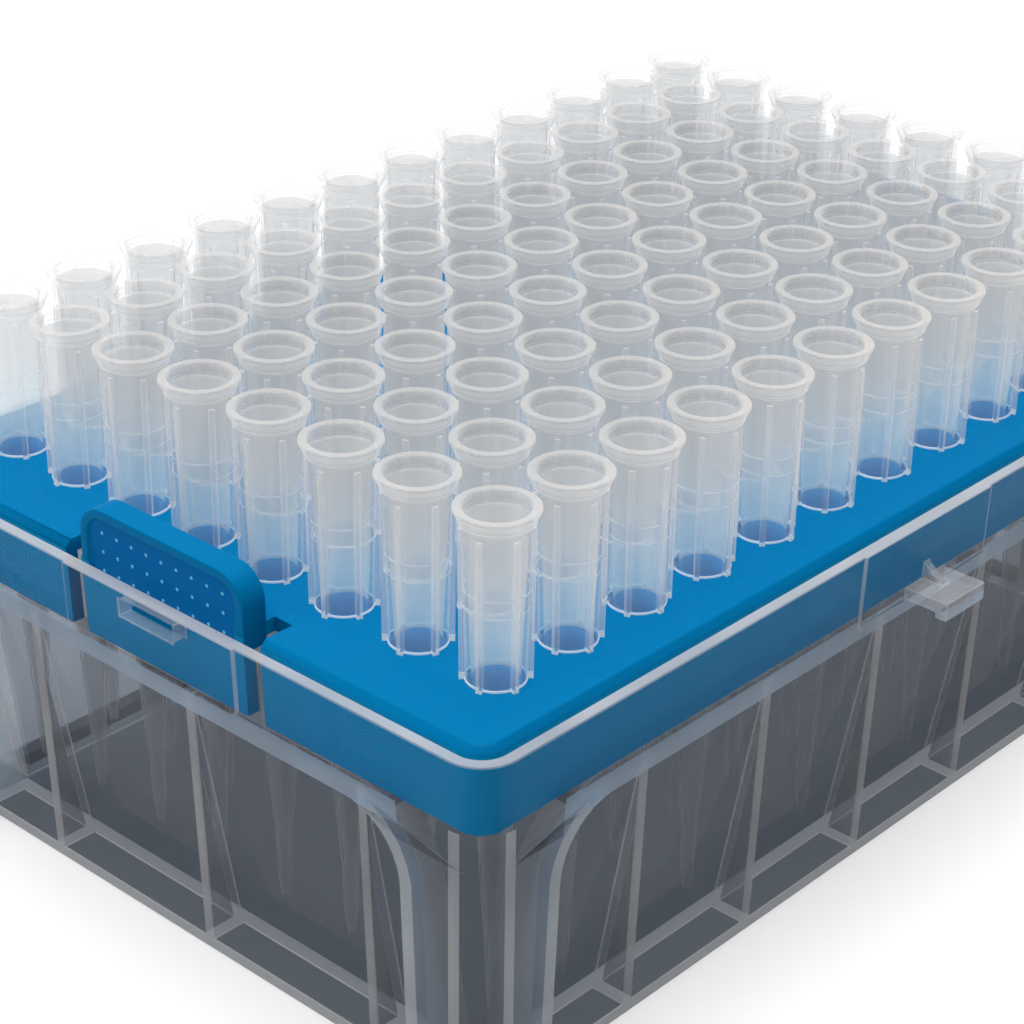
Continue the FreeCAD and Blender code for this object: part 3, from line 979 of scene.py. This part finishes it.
# %% Floor
bpy.ops.object.select_all(action="DESELECT")
bpy.ops.mesh.primitive_plane_add(size=6.0, location=(0, 0, -0.02 * MM))
floor = bpy.context.object
floor.name = "floor"
pale, tree, output = new_material("pale_floor")
kind_of_ray = tree.nodes.new("ShaderNodeLightPath")
seen = kind_of_ray.outputs["Is Camera Ray"]
for other in ("Is Glossy Ray", "Is Transmission Ray"):
    either = tree.nodes.new("ShaderNodeMath")
    either.operation = "MAXIMUM"
    tree.links.new(seen, either.inputs[0])
    tree.links.new(kind_of_ray.outputs[other], either.inputs[1])
    seen = either.outputs["Value"]
FLOOR_WHITE = 0.62
FLOOR_LIFT = 0.42
lift = tree.nodes.new("ShaderNodeMath")
lift.operation = "MULTIPLY"
lift.inputs[1].default_value = FLOOR_LIFT
tree.links.new(seen, lift.inputs[0])
glow = tree.nodes.new("ShaderNodeEmission")
tree.links.new(lift.outputs["Value"], glow.inputs["Strength"])
both = tree.nodes.new("ShaderNodeAddShader")
tree.links.new(shader(tree, "Diffuse", (FLOOR_WHITE, FLOOR_WHITE, FLOOR_WHITE)), both.inputs[0])
tree.links.new(glow.outputs["Emission"], both.inputs[1])
tree.links.new(both.outputs["Shader"], output.inputs["Surface"])
floor.data.materials.append(pale)
print("floor laid")

# %% World
HORIZON = 0.20
OVERHEAD = 1.35
LUG_SIDE = 0.35
world = bpy.data.worlds.new("studio")
bpy.context.scene.world = world
world.use_nodes = True
tree = world.node_tree
sky = tree.nodes["Background"]
direction = tree.nodes.new("ShaderNodeTexCoord")
split = tree.nodes.new("ShaderNodeSeparateXYZ")
strength = tree.nodes.new("ShaderNodeMapRange")
strength.inputs["To Min"].default_value = HORIZON
strength.inputs["To Max"].default_value = OVERHEAD
sky.inputs["Color"].default_value = (1.0, 1.0, 1.0, 1.0)
tree.links.new(direction.outputs["Generated"], split.inputs["Vector"])
steeper = tree.nodes.new("ShaderNodeMath")
steeper.operation = "MULTIPLY"
tree.links.new(split.outputs["Z"], steeper.inputs[0])
tree.links.new(split.outputs["Z"], steeper.inputs[1])
tree.links.new(steeper.outputs["Value"], strength.inputs["Value"])
side = tree.nodes.new("ShaderNodeMapRange")
side.inputs["From Min"].default_value = -1.0
side.inputs["From Max"].default_value = 0.0
side.inputs["To Min"].default_value = LUG_SIDE
tree.links.new(split.outputs["Y"], side.inputs["Value"])
shaded = tree.nodes.new("ShaderNodeMath")
shaded.operation = "MULTIPLY"
tree.links.new(side.outputs["Result"], shaded.inputs[0])
tree.links.new(strength.outputs["Result"], shaded.inputs[1])
tree.links.new(shaded.outputs["Value"], sky.inputs["Strength"])
print("world set")

# %% Lights
def soft_light(name, place, size, power):
    """An area light that points at the box."""
    data = bpy.data.lights.new(name, "AREA")
    data.size = size
    data.energy = power
    lamp = bpy.data.objects.new(name, data)
    bpy.context.scene.collection.objects.link(lamp)
    lamp.location = place
    target = Vector((0, 0, 0.03))
    lamp.rotation_euler = (target - lamp.location).to_track_quat("-Z", "Y").to_euler()
    return lamp


soft_light("top_light", (0.05, 0.10, 1.0), 1.0, 10.0)
soft_light("left_light", (-0.9, 0.30, 0.45), 0.6, 1.6)
print("lights hung")

# %% Camera
YAW, PITCH_DOWN, ROLL = (math.radians(a) for a in (42.43, 27.5, 0.63))
level_ahead = Vector((math.cos(YAW), math.sin(YAW), 0))
ahead = level_ahead * math.cos(PITCH_DOWN) - Vector((0, 0, math.sin(PITCH_DOWN)))
level_right = Vector((math.sin(YAW), -math.cos(YAW), 0))
level_up = level_right.cross(ahead)
right = level_right * math.cos(ROLL) + level_up * math.sin(ROLL)
up = level_up * math.cos(ROLL) - level_right * math.sin(ROLL)
camera_data = bpy.data.cameras.new("camera")
camera_data.sensor_width = 36.0
camera_data.lens = 94.6
camera = bpy.data.objects.new("camera", camera_data)
bpy.context.scene.collection.objects.link(camera)
place = Vector((-190.28, -161.78, LIP_TOP / MM - 0.2 + 99.47)) * MM
camera.matrix_world = Matrix.Translation(place) @ Matrix((right, up, -ahead)).transposed().to_4x4()
bpy.context.scene.camera = camera
bpy.context.scene.view_settings.view_transform = "Standard"
print("camera at", [round(c / MM, 1) for c in place])
